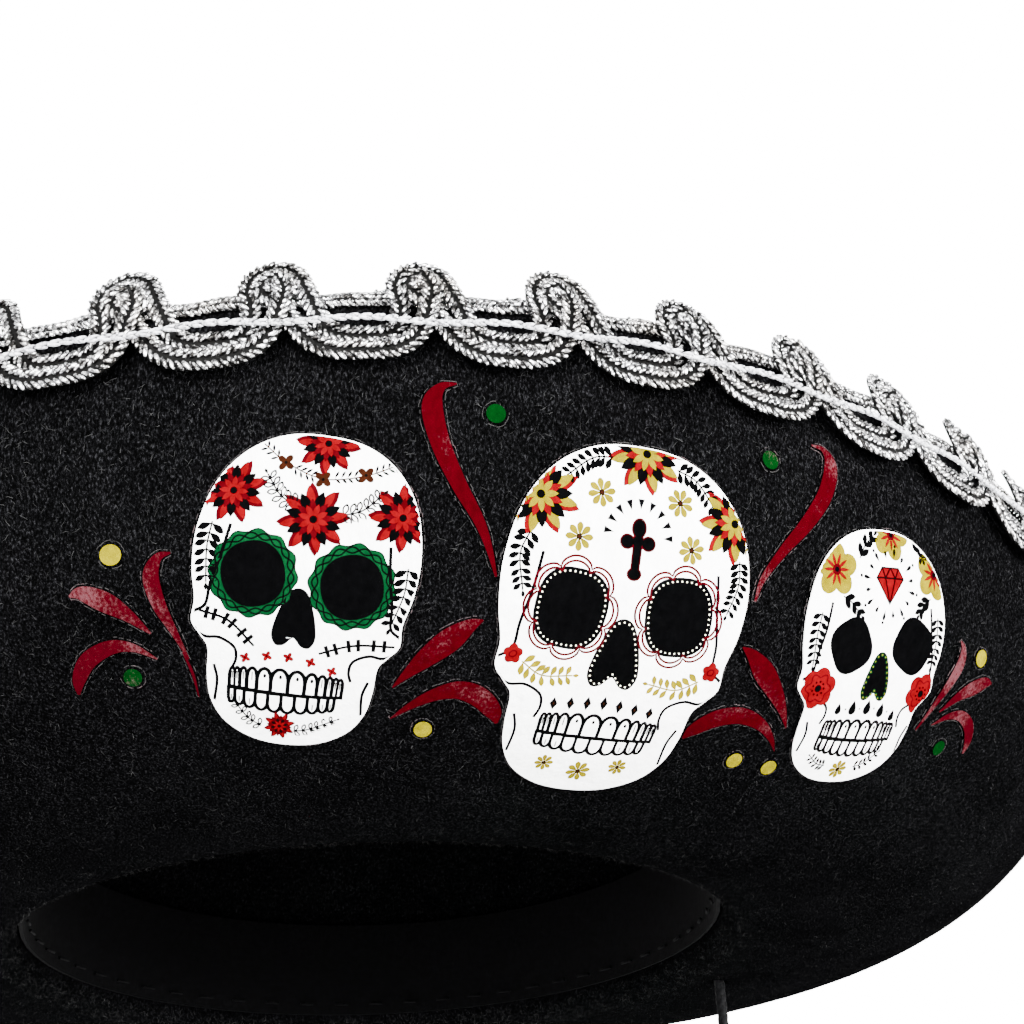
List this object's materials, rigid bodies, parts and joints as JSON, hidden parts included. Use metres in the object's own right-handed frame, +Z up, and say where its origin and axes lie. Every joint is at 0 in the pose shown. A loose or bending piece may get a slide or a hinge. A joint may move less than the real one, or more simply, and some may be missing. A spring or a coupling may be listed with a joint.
{
  "type": "sombrero",
  "caption": "Black felt sombrero with a rolled-up brim, silver scroll braid on the rim, sugar-skull decals under the brim and a chin cord with a slider.",
  "frame": {"origin": "centre of the head opening, on the plane of its lower edge", "axes": "+Z up through the crown, -Y towards the front of the hat, +X towards the wearer's left"},
  "size_m": [0.3944, 0.3646, 0.2875],
  "materials": {
    "felt": "pressed black felt",
    "sweatband": "black ribbed ribbon",
    "thread_black": "black sewing thread",
    "braid": "silver metallic scroll braid",
    "thread_silver": "pale metallic chain stitch",
    "film_white": "white heat-transfer film",
    "film_red": "dark red heat-transfer film",
    "film_yellow": "yellow heat-transfer film",
    "film_green": "green heat-transfer film",
    "cord": "black braided cord",
    "slider": "black moulded slider"
  },
  "bodies": {
    "hat": {"crown": "felt", "brim": "felt", "seam_stitch": "thread_black", "sweatband": "sweatband", "sweatband_stitch": "thread_black", "braid_tape_a": "braid", "braid_tape_b": "braid", "braid_thread": "thread_silver", "rim_binding": "braid", "hatband_tape_a": "braid", "hatband_tape_b": "braid", "hatband_thread": "thread_silver", "skull_left": "film_white", "skull_centre": "film_white", "skull_right": "film_white", "swirls_outer_left": "film_red", "swirls_inner_left": "film_red", "swirls_inner_right": "film_red", "swirls_outer_right": "film_red", "dots_yellow": "film_yellow", "dots_green": "film_green", "chin_cord_left": "cord", "chin_cord_right": "cord", "anchor_knot_left": "cord", "anchor_knot_right": "cord", "end_knot_left": "cord", "end_knot_right": "cord"},
    "slider": {"cord_slider": "slider"}
  },
  "joints": [
    {"name": "slider_slide", "type": "slide", "parent": "hat", "child": "slider", "axis": [0, 0, 1], "range_m": [-0.026, 0]}
  ]
}
